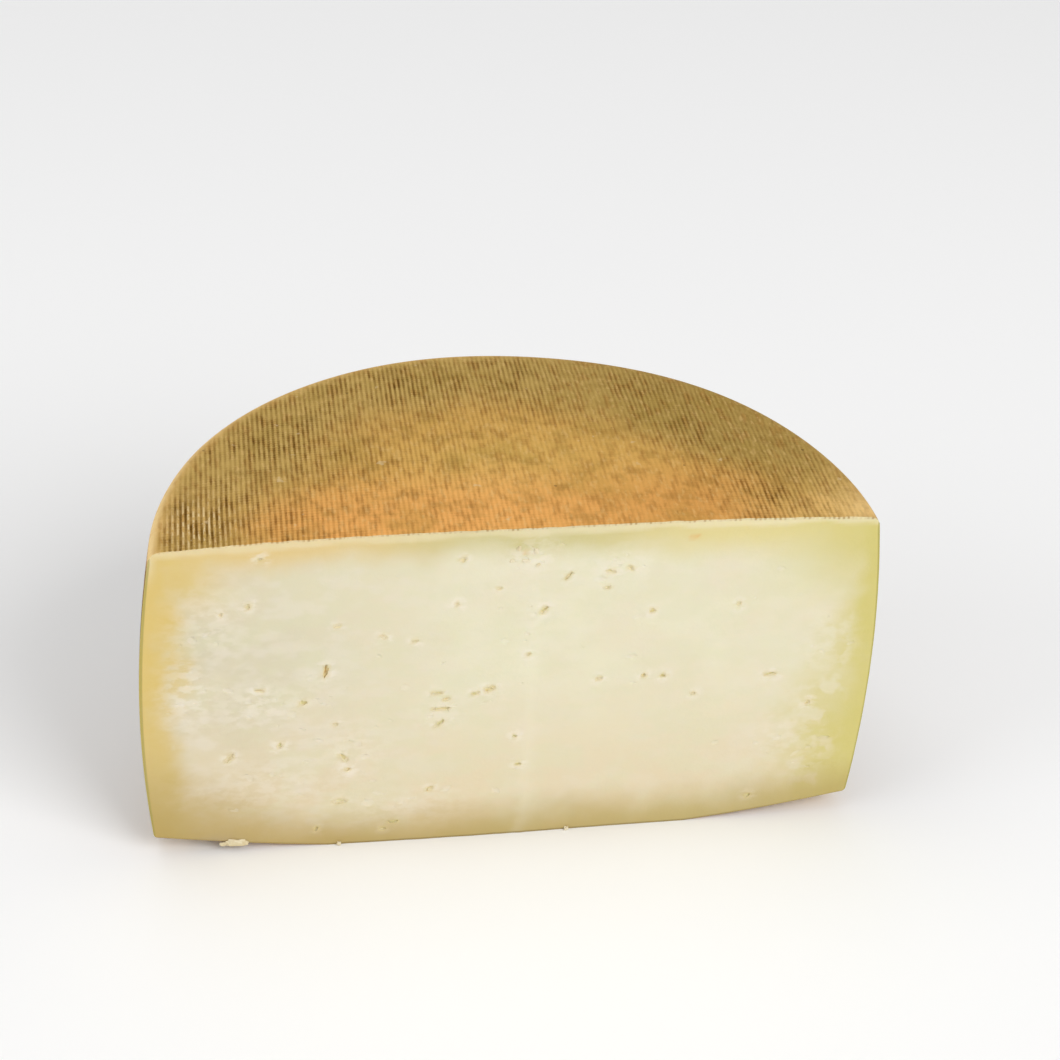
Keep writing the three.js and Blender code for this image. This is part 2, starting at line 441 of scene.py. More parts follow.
def side_meander(point):
    """How far the ribs of the side wander round it"""
    return 0.5 * MM * noise.noise(Vector((point.x, point.y, point.z * 1.6)) / (34 * MM))


def top_meander(point):
    """How far the ribs of the top wander across it, and lean to the right towards the back"""
    lean = math.tan(math.radians(1.3))
    wide = 0.5 * MM * noise.noise(Vector((point.x * 1.4, point.y * 0.8, 0.3)) / (34 * MM))
    narrow = 0.3 * MM * noise.noise(Vector((point.x, point.y, 9 * MM)) / (9 * MM))
    return lean * point.y + wide + narrow * smooth_step(-90 * MM, 60 * MM, point.x)


# Each rib has four columns of points, and each column its share of the furrow's depth
COLUMNS_A_RIB = 4
FURROW = (0.0, 0.5, 1.0, 0.5)


def rib_count(wheel, cloth):
    """How many ribs stand round the side of the half"""
    return round(math.pi * wheel.diameter / 2 / cloth.side_pitch)


def shape_side(wheel, cloth):
    """The wheel's back half with the ribs of its side. It starts a little too high and too deep, since the
    block that shapes the top and the knife trim it"""
    spare_height, spare_depth = 2 * MM, 6 * MM
    radius = wheel.diameter / 2
    columns = rib_count(wheel, cloth) * COLUMNS_A_RIB
    points = [(r, 0.0, z) for r, z in wheel_outline(wheel, spare_height)]
    edges = [(i, i + 1) for i in range(len(points) - 1)]
    piece = new_piece("half_wheel", points, edges)
    bpy.ops.object.mode_set(mode="EDIT")
    bpy.ops.mesh.select_all(action="SELECT")
    bpy.ops.mesh.spin(steps=columns, angle=math.pi, center=(0, 0, 0), axis=(0, 0, -1))
    bpy.ops.mesh.select_all(action="SELECT")
    bpy.ops.mesh.remove_doubles(threshold=0.01 * MM)
    bpy.ops.object.mode_set(mode="OBJECT")

    def ribbed(point):
        angle = math.atan2(point.y, point.x)
        column = round(angle / math.pi * columns)
        strength = side_imprint(point.z, wheel) * patchy(point)
        furrow = cloth.depth * FURROW[column % COLUMNS_A_RIB] * strength
        place = point.copy()
        r = math.hypot(point.x, point.y)
        if r > radius / 2:
            at_end = abs(point.y) < 0.01 * MM
            turn = 0.0 if at_end else side_meander(point) / r * smooth_step(0, 8 * MM, abs(point.y))
            place.x = (r - furrow) * math.cos(angle + turn)
            place.y = (r - furrow) * math.sin(angle + turn)
        return place + uneven_shift(point, wheel)

    move_points(piece, ribbed)
    bpy.ops.object.mode_set(mode="EDIT")
    bpy.ops.mesh.select_all(action="DESELECT")
    bpy.ops.mesh.select_mode(type="EDGE")
    bpy.ops.mesh.select_non_manifold()
    bpy.ops.mesh.edge_face_add()
    thicken((0, -spare_depth, 0))
    return piece


def shape_top_tool(wheel, cloth):
    """A block whose upper face is the top of the wheel with the ribs that run from front to back"""
    half = wheel.diameter / 2 + TOP_MARGIN
    step = cloth.top_pitch / COLUMNS_A_RIB
    columns, rows = 2 * round(half / step), 30
    front, back = -8 * MM, half
    far_below = 0.2
    piece = new_sheet(columns, rows)

    def ribbed(point):
        column = round((point.x + 0.5) * columns)
        flat = Vector(((column - columns / 2) * step, front + (back - front) * (point.y + 0.5), 0.0))
        height = dome_height(min(math.hypot(flat.x, flat.y), half), wheel)
        worn_edge = 0.3 + 0.7 * smooth_step(0, 6 * MM, flat.y)
        strength = top_imprint(flat, wheel) * patchy(flat) * worn_edge
        furrow = cloth.depth * FURROW[column % COLUMNS_A_RIB] * strength
        place = flat + Vector((top_meander(flat), 0.0, height))
        return place + uneven_shift(place, wheel) - Vector((0, 0, furrow))

    move_points(piece, ribbed)
    bpy.ops.object.mode_set(mode="EDIT")
    bpy.ops.mesh.select_all(action="SELECT")
    thicken((0, 0, -far_below), level_back=True)
    return piece


# The cut

def ridge_y(x, cut):
    """Where the two strokes of the knife lie at a place across the face"""
    beyond = 0.150
    span = beyond + cut.ridge_place if x < cut.ridge_place else beyond - cut.ridge_place
    return -cut.ridge_height * (1 - abs(x - cut.ridge_place) / span)


def cut_y(x, z, cut):
    """The cut face with its soft waves, the drag of the knife and the rough seam between the strokes"""
    spot = Vector((x, 0.0, z))
    wave = 0.22 * MM * noise.noise(spot / (60 * MM))
    curd = 0.10 * MM * noise.noise(spot / (9 * MM) + Vector((3, 0, 0)))
    grain = 0.05 * MM * noise.noise(spot / (3.2 * MM))
    drag = 0.05 * MM * noise.noise(Vector((x / (40 * MM), 0, z / (3.5 * MM))))
    seam = math.exp(-((x - cut.ridge_place) / (1.6 * MM)) ** 2)
    rough = 0.20 * MM * seam * (1 + noise.noise(spot / (4 * MM)))
    near_top = smooth_step(CROWN - 6 * MM, CROWN - 2 * MM, z)
    torn_edge = 0.45 * MM * near_top * noise.noise(spot / (5 * MM) + Vector((7, 0, 0)))
    return ridge_y(x, cut) + wave + curd + grain + drag + torn_edge - rough


def shape_knife(wheel, cut):
    """What the knife takes away: a block whose back is the cut face"""
    half = wheel.diameter / 2 + KNIFE_MARGIN
    low, high = -KNIFE_MARGIN, CROWN + KNIFE_MARGIN
    thickness = 20 * MM
    piece = new_sheet(round(2 * half / cut.cell), round((high - low) / cut.cell))

    def cut_place(point):
        x, z = 2 * half * point.x, low + (high - low) * (point.y + 0.5)
        return Vector((x, cut_y(x, z, cut), z))

    move_points(piece, cut_place)
    bpy.ops.object.mode_set(mode="EDIT")
    bpy.ops.mesh.select_all(action="SELECT")
    thicken((0, -thickness, 0))
    return piece


def egg(place, sizes, turn, fineness, raggedness, seed, roundness=1.0):
    """An uneven egg, boxy where its roundness is under 1: the form of an eye, a flake or a crumb"""
    bpy.ops.object.select_all(action="DESELECT")
    bpy.ops.mesh.primitive_ico_sphere_add(subdivisions=fineness, radius=1)
    piece = bpy.context.object
    offset = Vector((seed * 1.37, seed * 0.71, seed * 2.13))
    turned = Matrix.Rotation(-math.radians(turn), 3, "Y")

    def ragged(point):
        swell = 1 + raggedness * noise.noise(point * 1.6 + offset)
        x, y, z = [math.copysign(abs(part) ** roundness, part) for part in point]
        scaled = Vector((x * sizes[0] / 2, y * sizes[2], z * sizes[1] / 2)) * swell
        return turned @ scaled + place

    move_points(piece, ragged)
    return piece


def joined(pieces, name):
    bpy.ops.object.select_all(action="DESELECT")
    for piece in pieces:
        piece.select_set(True)
    bpy.context.view_layer.objects.active = pieces[0]
    bpy.ops.object.join()
    pieces[0].name = name
    return pieces[0]


def egg_on_cut(cut, x, z, out, sizes, *form):
    """An egg whose middle stands out of the cut face, with its place, length, breadth and depth in
    millimetres"""
    place = Vector((x * MM, cut_y(x * MM, z * MM, cut) - out * MM, z * MM))
    return egg(place, [size * MM for size in sizes], *form)


def shape_eyes(cut):
    """The eyes and cracks, sunk into the cut face: first their bodies, then two sets of smaller arms that
    reach out of them aslant"""
    bodies = [
        egg_on_cut(cut, x, z, 0, (length, breadth, depth), turn, 3 if length > 3 else 2, 0.7, i + 1)
        for i, (x, z, length, breadth, depth, turn) in enumerate(EYES)]
    tools = [joined(bodies, "eyes")]
    draw = random.Random(cut.seed)
    for side in (-1, 1):
        arms = []
        for i, (x, z, length, breadth, depth, turn) in enumerate(EYES):
            out = side * length * draw.uniform(0.15, 0.38)
            across = x + out * math.cos(math.radians(turn))
            up = z + out * math.sin(math.radians(turn))
            sizes = (
                max(1.3, length * draw.uniform(0.35, 0.6)), breadth * draw.uniform(0.4, 0.65),
                depth * draw.uniform(0.5, 0.85))
            lean = turn + draw.choice((-1, 1)) * draw.uniform(30, 75)
            arms.append(egg_on_cut(cut, across, up, 0, sizes, lean, 2, 0.8, i + 60 + 50 * side))
        tools.append(joined(arms, "arms of the eyes"))
    return tools


def flake_places(cut):
    """Seeded places for the flakes that broke out, clear of the eyes and of each other"""
    draw = random.Random(cut.seed)
    taken = [(x, z, length / 2 + 0.4) for x, z, length, _, _, _ in EYES]
    places = []
    for x0, z0, half_width, half_height, count in CRUMBLED:
        for _ in range(count):
            x = x0 + half_width * draw.gauss(0, 0.5)
            z = z0 + half_height * draw.gauss(0, 0.5)
            length = 1.3 + 4.0 * draw.random() ** 2
            clear = all(math.hypot(x - a, z - b) > length / 2 + r for a, b, r in taken)
            if clear and abs(x) < 122 and 5 < z < 129:
                places.append((x, z, length, draw.uniform(0.35, 0.75), draw.uniform(-30, 30)))
                taken.append((x, z, length / 2 + 0.2))
    return places


def shape_flakes(cut):
    """Shallow scars where flakes of paste stuck to the knife"""
    pieces = []
    for i, (x, z, length, flatness, turn) in enumerate(flake_places(cut)):
        depth = 0.07 + 0.035 * length
        sizes = (length, length * flatness, depth)
        pieces.append(egg_on_cut(cut, x, z, 0.2 * depth, sizes, turn, 2, 0.7, i + 40))
    return joined(pieces, "flakes")


def shape_crumbs(cut):
    """Crumbs of paste that lie at the foot of the cut or cling to it"""
    pieces = []
    for i, (x, z, length, height, thickness, turn) in enumerate(CRUMBS):
        sizes = (length, height, thickness / 2)
        pieces.append(egg_on_cut(cut, x, z, 0.4 * thickness, sizes, turn, 3, 0.6, i + 400, 0.7))
    return joined(pieces, "crumbs")


def carve(piece, tool, operation):
    """Cuts or trims a piece with another, which is used up"""
    select_only(piece)
    modifier = piece.modifiers.new("carve", "BOOLEAN")
    modifier.operation = operation
    modifier.solver = "MANIFOLD"
    modifier.object = tool
    bpy.ops.object.modifier_apply(modifier=modifier.name)
    bpy.data.objects.remove(tool)
    if len(piece.data.polygons) < 100:
        raise RuntimeError("a carving left nothing of the cheese")


def settle(piece):
    """Moves the half from round the wheel's own axis to where the frame has it"""
    corners = [v.co for v in piece.data.vertices]
    middle = (max(c.x for c in corners) + min(c.x for c in corners)) / 2
    AXIS.x = (node_low.x + node_high.x) / 2 - middle
    AXIS.y = node_high.y - max(c.y for c in corners)
    move_points(piece, lambda point: point + AXIS)
    select_only(piece)
    bpy.ops.object.shade_smooth_by_angle(angle=math.radians(60))


# Masks that the materials read from the surface

def write_masks(piece, rows):
    """Stores one number of each name for every point"""
    for name in rows[0]:
        mask = piece.data.attributes.new(name, "FLOAT", "POINT")
        mask.data.foreach_set("value", [row[name] for row in rows])


PASTE_MASKS = (
    "sunk", "from_side", "from_top", "from_base", "under_side", "under_top", "over_base", "cream", "halo",
    "rim", "seam", "blush", "smear_and_shade", "olive")


def from_eye(x, z, eye):
    """How far a place on the cut lies outside an eye, in millimetres"""
    across, up, length, breadth, _, turn = eye
    angle = math.radians(turn)
    along = (x - across) * math.cos(angle) + (z - up) * math.sin(angle)
    aside = (z - up) * math.cos(angle) - (x - across) * math.sin(angle)
    return math.hypot(max(0.0, abs(along) - (length - breadth) / 2), aside) - breadth / 2


def paste_masks(point, wheel, cut):
    """What the paste's material reads at a point of the cut: how far it lies behind the face and from the
    side, the top and the base, in millimetres, how strongly each zone shows, and how olive the nearest eye
    is. Points behind the deepest eye belong to the rind and read nothing"""
    deepest = 4
    behind = (point.y - cut_y(point.x, point.z, cut)) / MM
    if behind > deepest:
        return {name: 0.0 for name in PASTE_MASKS}
    low, high = side_ends(wheel)
    way = min(1.0, max(0.0, (point.z - low) / (high - low)))
    x, z = point.x / MM, point.z / MM
    side = (side_radius(way, wheel) - abs(point.x)) / MM
    top = (dome_height(abs(point.x), wheel) - point.z) / MM
    base = (point.z - underside_height(abs(point.x), wheel)) / MM
    spot = Vector((point.x, 0.0, point.z))
    ragged = sum(share * noise.noise(spot / (size * MM)) for share, size in ((5, 24), (3, 9), (1.5, 4)))
    to_right = smooth_step(-60, 90, x)
    low_right = to_right * math.exp(-((z - 35) / 32) ** 2)
    left_corner = 0.9 * soft_spot(x, z, -117, 121, 15, 12)
    right_corner = 0.8 * soft_spot(x, z, 121, 122, 24, 22)
    above_foot = 0.25 + 0.75 * smooth_step(6, 30, z)
    nearest, eye_number = min((from_eye(x, z, eye), i) for i, eye in enumerate(EYES))
    # How far the darker zones and the pale edge reach in, in millimetres
    side_reach = 14 + 14 * low_right
    top_reach = 12 - 2 * math.exp(-((x - 10) / 40) ** 2) + 4 * to_right
    # The zone over the base reaches further in on the left, where its darker colour is partly painted shade
    base_reach = 15 + 14 * (1 - smooth_step(-122, -70, x))
    edge_reach = 4.4 - 0.8 * to_right
    crumbly = max(soft_spot(x, z, a, b, w, h) * min(1.0, count / 12) for a, b, w, h, count in CRUMBLED[:-1])
    along_side = 1 - smooth_step(
        side_reach * (0.2 - 0.2 * to_right), side_reach * (1.4 + 0.25 * to_right), side + 1.3 * ragged)
    top_strip = 1 - smooth_step(0.4 * edge_reach, edge_reach, top + 0.25 * ragged)
    side_strip = (1 - smooth_step(0.4, 4.5, side + 0.3 * ragged)) * (1 - smooth_step(3, 16, top))
    by_eye = 1 - smooth_step(0.2, 3.5, nearest + 0.3 * ragged)
    return {
        "sunk": max(0.0, behind),
        "from_side": side,
        "from_top": top,
        "from_base": base,
        "under_side": max(left_corner, right_corner, along_side),
        "under_top": 1 - smooth_step(top_reach * 0.2, top_reach * 1.3, top + 0.6 * ragged),
        "over_base": 0.85 * (1 - smooth_step(0, base_reach * 1.5, base + 0.6 * ragged)),
        "cream": 0.6 * max(top_strip, side_strip * (1 - to_right)),
        "halo": above_foot * max(by_eye, 0.8 * crumbly),
        "rim": 0.5 * (1 - smooth_step(-0.2, 0.9, nearest)),
        "seam": 0.12 * math.exp(-((x - cut.ridge_place / MM + ragged) / 3) ** 2),
        "blush": 0.7 * max(soft_spot(x, z, a, b, r, 0.7 * r) for a, b, r in BLUSHES),
        # A greyish-tan patch at the foot of the cut on the left: partly smeared crumbs and partly painted
        # shade
        "smear_and_shade": 0.7 * soft_spot(x + 0.5 * ragged, z, -107, 5, 9, 2.5),
        "olive": eye_number * 0.618 % 1,
    }


def is_flat(height, wheel):
    """Whether a height belongs to the top or the underside and not to the side"""
    low, high = side_ends(wheel)
    return height > high + wheel.lip * 0.6 or height < low - wheel.bottom_edge * 0.8


def write_rind_masks(piece, wheel, cloth):
    """Counts the threads of the cloth in a map, ribs across and crossing threads along, and stores how
    strongly each left its mark, how far out and how far behind the cut a point lies, and where the rind is
    the smooth pale lip, which is partly a painted highlight"""
    mesh = piece.data
    _, high = side_ends(wheel)
    rim = wheel.top_rim / 2
    ribs = rib_count(wheel, cloth)
    step = cloth.top_pitch / COLUMNS_A_RIB
    middle_column = round((wheel.diameter / 2 + TOP_MARGIN) / step)
    rows, side_counts, top_counts = [], [], []
    for vertex in mesh.vertices:
        point = vertex.co - uneven_shift(vertex.co, wheel)
        radius = math.hypot(point.x, point.y)
        angle = math.atan2(max(0.0, point.y), point.x)
        turn = side_meander(point) / max(radius, MM)
        side_counts.append(((angle - turn) / math.pi * ribs, point.z / cloth.weft_pitch))
        column = (point.x - top_meander(point)) / step + middle_column
        top_counts.append((column / COLUMNS_A_RIB, point.y / cloth.weft_pitch))
        flat = is_flat(point.z, wheel)
        deep = deep_print(point)
        high_up = smooth_step(70 * MM, 95 * MM, point.z)
        strength = top_imprint(point, wheel) if flat else side_imprint(point.z, wheel)
        # The pale lip is painted mostly on the left, where it is partly a painted highlight along the crest
        # of the edge
        highlight_on_left = 1 - 0.85 * smooth_step(-20 * MM, 60 * MM, point.x)
        on_lip = highlight_on_left * smooth_step(high - 1.5 * MM, high + 2.5 * MM, point.z) * smooth_step(
            rim - 4 * MM, rim - 0.8 * MM, radius)
        rows.append({
            "imprint": strength * patchy(point),
            "weft": 0.45 - 0.25 * deep if flat else 0.3 + 0.25 * high_up,
            "flat": 1.0 if flat else 0.0,
            "across": radius / rim,
            "lip": max(on_lip, 0.35 * worn_corner(point) if flat else 0.0),
            "beaded": 0.08 + 0.92 * deep if flat else 0.0,
            "back": vertex.co.y / MM,
        })
    write_masks(piece, rows)
    layer = mesh.uv_layers.new(name="cloth")
    for polygon in mesh.polygons:
        counts = top_counts if is_flat(polygon.center.z, wheel) else side_counts
        for corner in polygon.loop_indices:
            layer.data[corner].uv = counts[mesh.loops[corner].vertex_index]


# Materials

SOFT = {"interpolation_type": "SMOOTHSTEP"}


def paint(tree, colour, coats):
    """Lays coats over a colour, each as strongly as its share says. A colour is a hex value or an output"""
    for share, coat in coats:
        colour = add_node(tree, "Mix", {0: share, 6: colour, 7: coat}, take=2, data_type="RGBA")
    return colour


def patches(tree, place, size, threshold, strength=1.0, edge=0.07, detail=4.0):
    """Soft-edged patches of a size in metres: their strength inside and 0 outside"""
    inputs = {"Vector": place, "Scale": 1 / size, "Detail": detail, "Roughness": 0.55}
    limits = {0: add_node(tree, "TexNoise", inputs), 1: threshold - edge, 2: threshold + edge, 4: strength}
    return add_node(tree, "MapRange", limits, **SOFT)


def wander(tree, place, measure, size, reach):
    """A measure of the place that wanders up and down, so that the zones drawn from it aren't straight"""
    grey = add_node(tree, "TexNoise", {"Vector": place, "Scale": 1 / size, "Detail": 4})
    shift = add_node(tree, "Math", {0: grey, 1: reach, 2: -reach / 2}, operation="MULTIPLY_ADD")
    return add_node(tree, "Math", {0: measure, 1: shift}, operation="ADD")


def new_material(name, roughness, gloss=0.5):
    material = bpy.data.materials.new(name)
    material.use_nodes = True
    shader = material.node_tree.nodes["Principled BSDF"]
    shader.inputs["Roughness"].default_value = roughness
    shader.inputs["Specular IOR Level"].default_value = gloss
    return material, material.node_tree, shader


def surface(tree, shader, colour, place, grain_size, marks, strength, depth):
    """Gives a shader its colour and its relief: a fine grain and marks, each as deep as its share says. Sizes
    are in metres"""
    inputs = {"Vector": place, "Scale": 1 / grain_size, "Detail": 4, "Roughness": 0.6}
    relief = add_node(tree, "TexNoise", inputs)
    for mark, share in marks:
        relief = add_node(tree, "Math", {0: mark, 1: share, 2: relief}, operation="MULTIPLY_ADD")
    bump = add_node(tree, "Bump", {"Strength": strength, "Distance": depth, "Height": relief})
    tree.links.new(colour, shader.inputs["Base Color"])
    tree.links.new(bump, shader.inputs["Normal"])


def rind_material(colours):
    """Natural rind of a wheel that was pressed in cloth and dried: matt, with light ribs 1.8 mm apart, dark
    furrows, holes where the furrows of both threads cross, and wide bands of olive brown mould on the side.
    The dark of the furrows and holes is partly mould and partly painted shade, the top is partly painted
    shadow towards the back, and the pale beads on the crests and the pale lip are partly painted highlight"""
    material, tree, shader = new_material("Natural rind, cloth-pressed and dry", 0.85, 0.12)
    add = partial(add_node, tree)
    place = add("TexCoord", take="Object")
    height = add("SeparateXYZ", {0: place}, take="Z")
    sideways = add("SeparateXYZ", {0: place}, take="X")
    to_right = add("MapRange", {0: sideways, 1: -0.02, 2: 0.08}, **SOFT)
    flat, across, lip, imprint, weft, back, beaded = [
        add("Attribute", take="Fac", attribute_name=name)
        for name in ("flat", "across", "lip", "imprint", "weft", "back", "beaded")]
    lying = add("Mapping", {"Vector": place, "Scale": (1, 1, 2.6)})
    streaked = add("Mapping", {"Vector": place, "Scale": (1, 0.4, 1)})

    drift = wander(tree, place, height, 60 * MM, 0.16 * CROWN)
    side = add("ValToRGB", {0: add("Math", {0: drift, 1: CROWN}, operation="DIVIDE")}, stops=(
        (0.03, "#bd9a62"), (0.10, "#b18d56"), (0.15, "#a6834d"), (0.19, "#957745"), (0.25, "#846938"),
        (0.33, "#765e31"), (0.40, "#7d6435"), (0.44, "#937743"), (0.49, "#b08b54"), (0.54, "#b58f57"),
        (0.59, "#a1814a"), (0.64, "#7f6737"), (0.70, "#735c31"), (0.77, "#846738"), (0.84, "#957343"),
        (0.89, "#ae8451"), (0.93, "#cda067"), (0.96, "#dcb87e")))
    dark = patches(tree, lying, 40 * MM, 0.54, 0.45, 0.14)
    side = paint(tree, side, (
        (dark, colours.mould),
        (patches(tree, lying, 14 * MM, 0.56, 0.35, 0.12, 6), "#574119"),
        (patches(tree, lying, 9 * MM, 0.56, 0.28, 0.1, 6), "#b08e4c"),
        (patches(tree, lying, 4 * MM, 0.56, 0.22, 0.08), "#5f491d"),
        (patches(tree, place, 7 * MM, 0.67, 0.35, 0.05, 8), "#cdb17e")))

    ring = wander(tree, place, across, 50 * MM, 0.3)
    top = add("ValToRGB", {0: ring}, stops=(
        (0.05, "#ddb566"), (0.35, "#d6ab5b"), (0.60, "#cfa154"), (0.75, "#cba35a"), (0.88, "#cea862"),
        (1.0, "#d5ac69")))
    near_cut = add("MapRange", {0: back, 1: 10, 2: 50, 3: 0.85, 4: 0}, **SOFT)
    inside = add("MapRange", {0: ring, 1: 0.66, 2: 0.88, 3: near_cut, 4: 0}, **SOFT)
    # Darker and more olive towards the back: partly the rind's own olive and partly painted shadow
    olive = add("MapRange", {0: back, 1: 8, 2: 50, 3: 0.1, 4: 0.9}, **SOFT)
    outside = add("MapRange", {0: ring, 1: 0.48, 2: 0.80, 3: 0, 4: olive}, **SOFT)
    at_edge = add("Mix", {0: to_right, 2: 0.1, 3: outside})
    outside = add("MapRange", {0: across, 1: 0.95, 2: 0.99, 3: outside, 4: at_edge}, **SOFT)
    specked = add("MapRange", {0: sideways, 1: 0.05, 2: 0.10, 3: 0.08, 4: 0.32}, **SOFT)
    rubbed = add("MapRange", {0: sideways, 1: 0.06, 2: 0.11, 3: 0, 4: 0.75}, **SOFT)
    rubbed = add("MapRange", {0: back, 1: 5, 2: 35, 3: rubbed, 4: 0}, **SOFT)
    top = paint(tree, top, (
        (inside, paint(tree, "#efab5e", ((to_right, "#d4974e"),))),
        (rubbed, "#e6ba70"),
        (outside, paint(tree, "#c0a05a", ((to_right, "#a88b48"),))),
        (patches(tree, place, 26 * MM, 0.58, 0.35, 0.1), "#a3863a"),
        (patches(tree, place, 9 * MM, 0.58, 0.3, 0.1), "#8a6826"),
        (patches(tree, streaked, 3 * MM, 0.56, 0.35, 0.08), "#a87434"),
        (patches(tree, streaked, 1.4 * MM, 0.57, specked, 0.08), "#866727"),
        (patches(tree, streaked, 1.6 * MM, 0.60, 0.28, 0.08), "#e4bf7d")))
    # Pale lip of the upper edge: partly smooth pale rind and partly painted highlight
    edge = paint(tree, colours.lip, ((patches(tree, place, 5 * MM, 0.54, 0.4, 0.1), "#d3a969"),))
    colour = paint(tree, side, ((flat, top), (lip, edge)))

    cloth = add("UVMap", uv_map="cloth")
    cells = add("VectorMath", {0: cloth, 1: (0.5, 0.5, 0)}, operation="ADD")
    dashes = add("VectorMath", {0: cells, 1: (1 / 3, 1, 0)}, operation="MULTIPLY")
    whole = [add("VectorMath", {0: fields}, operation="FLOOR") for fields in (cells, dashes)]
    chance, dash = [add("TexWhiteNoise", {"Vector": field}, noise_dimensions="2D") for field in whole]
    turns = add("VectorMath", {0: cloth, "Scale": 2 * math.pi}, operation="SCALE")
    turns = [add("SeparateXYZ", {0: turns}, take=axis) for axis in ("X", "Y")]
    ribs, wefts = [add("Math", {0: turn}, operation="COSINE") for turn in turns]
    uneven = add("TexNoise", {"Vector": streaked, "Scale": 1 / (3 * MM), "Detail": 3})
    # The painted shade and mould of the furrows are strongest at the left end of the top and near its rim
    strongest = add("MapRange", {0: sideways, 1: 0.0, 2: 0.06, 3: 1.15, 4: 2.4}, **SOFT)
    strongest = add("MapRange", {0: across, 1: 0.6, 2: 0.9, 3: strongest, 4: 1.15}, **SOFT)
    uneven = add("MapRange", {0: uneven, 1: 0.3, 2: 0.7, 3: 0.4, 4: strongest})
    rib_mark = add("Math", {0: imprint, 1: uneven}, operation="MULTIPLY")
    furrow = add("MapRange", {0: ribs, 1: -0.8, 2: 0.6, 3: rib_mark, 4: 0}, **SOFT)
    dash = add("MapRange", {0: dash, 3: 0.1, 4: 1.7})
    weft_mark = add("Math", {0: rib_mark, 1: weft}, operation="MULTIPLY")
    weft_mark = add("Math", {0: weft_mark, 1: dash}, operation="MULTIPLY")
    crossing = add("MapRange", {0: wefts, 1: -0.9, 2: 0.1, 3: weft_mark, 4: 0}, **SOFT)
    hole = add("Math", {0: furrow, 1: crossing}, operation="MULTIPLY")
    hole = add("Math", {0: hole, 1: chance}, operation="MULTIPLY")
    # Pale beads on the crests of the ribs, strongest at the left end of the top: partly pale rind and partly
    # painted highlight
    pale_bead_highlight = add("TexNoise", {"Vector": streaked, "Scale": 1 / (1.4 * MM), "Detail": 3, "Roughness": 0.6})
    pale_bead_highlight = add("MapRange", {0: pale_bead_highlight, 1: 0.46, 2: 0.56, 3: 0, 4: beaded}, **SOFT)
    crest = add("MapRange", {0: ribs, 1: 0.0, 2: 0.8}, **SOFT)
    pale_bead_highlight = add("Math", {0: pale_bead_highlight, 1: crest}, operation="MULTIPLY")
    pale_bead_highlight = add("Math", {0: pale_bead_highlight, 1: imprint}, operation="MULTIPLY")
    # The furrows, their crossings and the holes are multiplied darker: partly mould in them and partly
    # painted shade in the hollows
    for share, tint in ((furrow, "#968852"), (crossing, "#ccb98c"), (hole, "#8a7145")):
        colour = add(
            "Mix", {0: share, 6: colour, 7: tint}, take=2, data_type="RGBA", blend_type="MULTIPLY")
    pits = add("TexVoronoi", {"Vector": place, "Scale": 1 / (16 * MM)}, take="Distance")
    pit = add("MapRange", {0: pits, 1: 0.02, 2: 0.05, 3: 0.5, 4: 0}, **SOFT)
    colour = paint(tree, colour, (
        (add("Math", {0: pale_bead_highlight, 1: 0.6}, operation="MULTIPLY"), "#f0d9a8"),
        (patches(tree, place, 6 * MM, 0.72, 0.5, 0.03, 4), "#d8bf92"),
        (pit, "#45300f")))
    marks = ((crossing, -0.9), (furrow, -0.5), (hole, -0.6), (pit, -1.5), (pale_bead_highlight, 0.7))
    surface(tree, shader, colour, place, 0.9 * MM, marks, 1.0, 0.16 * MM)
    return material


